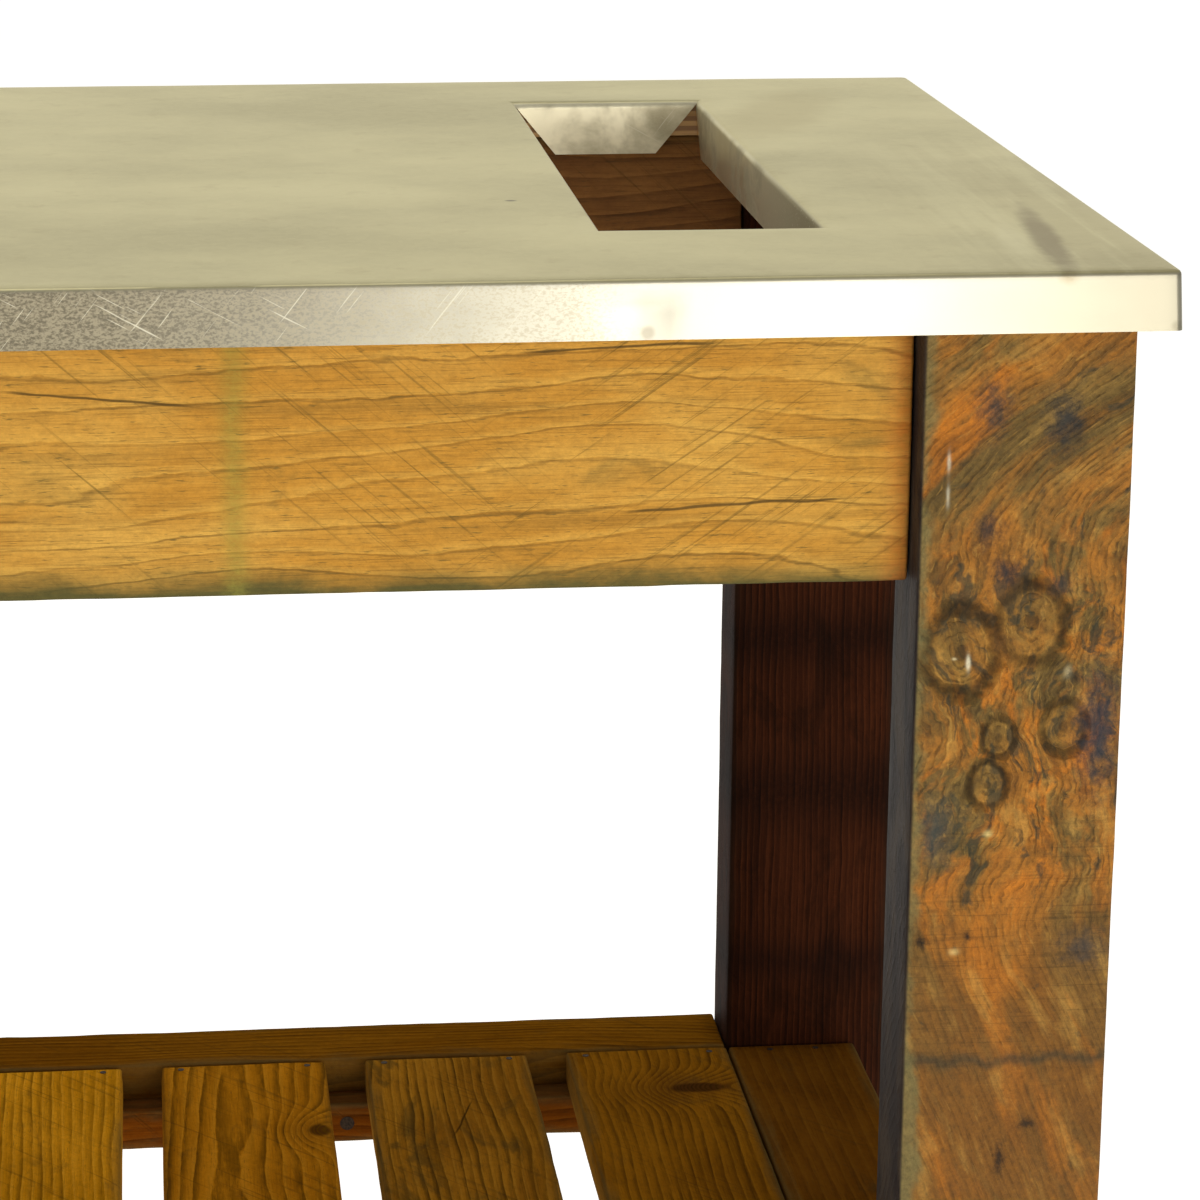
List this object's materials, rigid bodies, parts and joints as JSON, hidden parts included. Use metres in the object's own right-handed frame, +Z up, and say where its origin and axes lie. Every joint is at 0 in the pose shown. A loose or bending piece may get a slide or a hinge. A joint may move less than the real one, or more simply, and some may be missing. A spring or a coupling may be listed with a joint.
{
  "type": "potting bench",
  "caption": "Reclaimed-timber potting bench with a folded galvanised steel top, a soil slot near one end and a slatted lower shelf.",
  "frame": {"origin": "on the ground at the middle of the bench's length and depth", "axes": "+X along the bench towards the end with the soil slot, +Y from front to back, +Z up"},
  "size_m": [1.2, 0.56, 0.88],
  "materials": {
    "reclaimed_timber": "aged softwood, oiled, satin",
    "galvanised_sheet": "satin zinc with faint spangle and scratches",
    "plywood": "sheathing plywood, matt",
    "dowel_beech": "plain beech, matt",
    "steel_nails": "dull, lightly rusted",
    "zinc_screws": "zinc plated"
  },
  "bodies": {
    "root": {"front_left_leg": "reclaimed_timber", "back_left_leg": "reclaimed_timber", "front_right_leg": "reclaimed_timber", "back_right_leg": "reclaimed_timber", "front_apron": "reclaimed_timber", "back_apron": "reclaimed_timber", "left_apron": "reclaimed_timber", "right_apron": "reclaimed_timber", "front_rail": "reclaimed_timber", "back_rail": "reclaimed_timber", "front_cleat": "reclaimed_timber", "back_cleat": "reclaimed_timber", "left_bearer": "reclaimed_timber", "right_bearer": "reclaimed_timber", "shelf_slat_1": "reclaimed_timber", "shelf_slat_2": "reclaimed_timber", "shelf_slat_3": "reclaimed_timber", "shelf_slat_4": "reclaimed_timber", "shelf_slat_5": "reclaimed_timber", "shelf_slat_6": "reclaimed_timber", "shelf_slat_7": "reclaimed_timber", "shelf_slat_8": "reclaimed_timber", "shelf_slat_9": "reclaimed_timber", "left_end_board": "reclaimed_timber", "right_end_board": "reclaimed_timber", "plywood_deck": "plywood", "metal_top": "galvanised_sheet", "apron_dowels": "dowel_beech", "rail_dowels": "dowel_beech", "shelf_nails": "steel_nails", "cleat_screws": "zinc_screws", "deck_screws": "zinc_screws"}
  },
  "joints": []
}
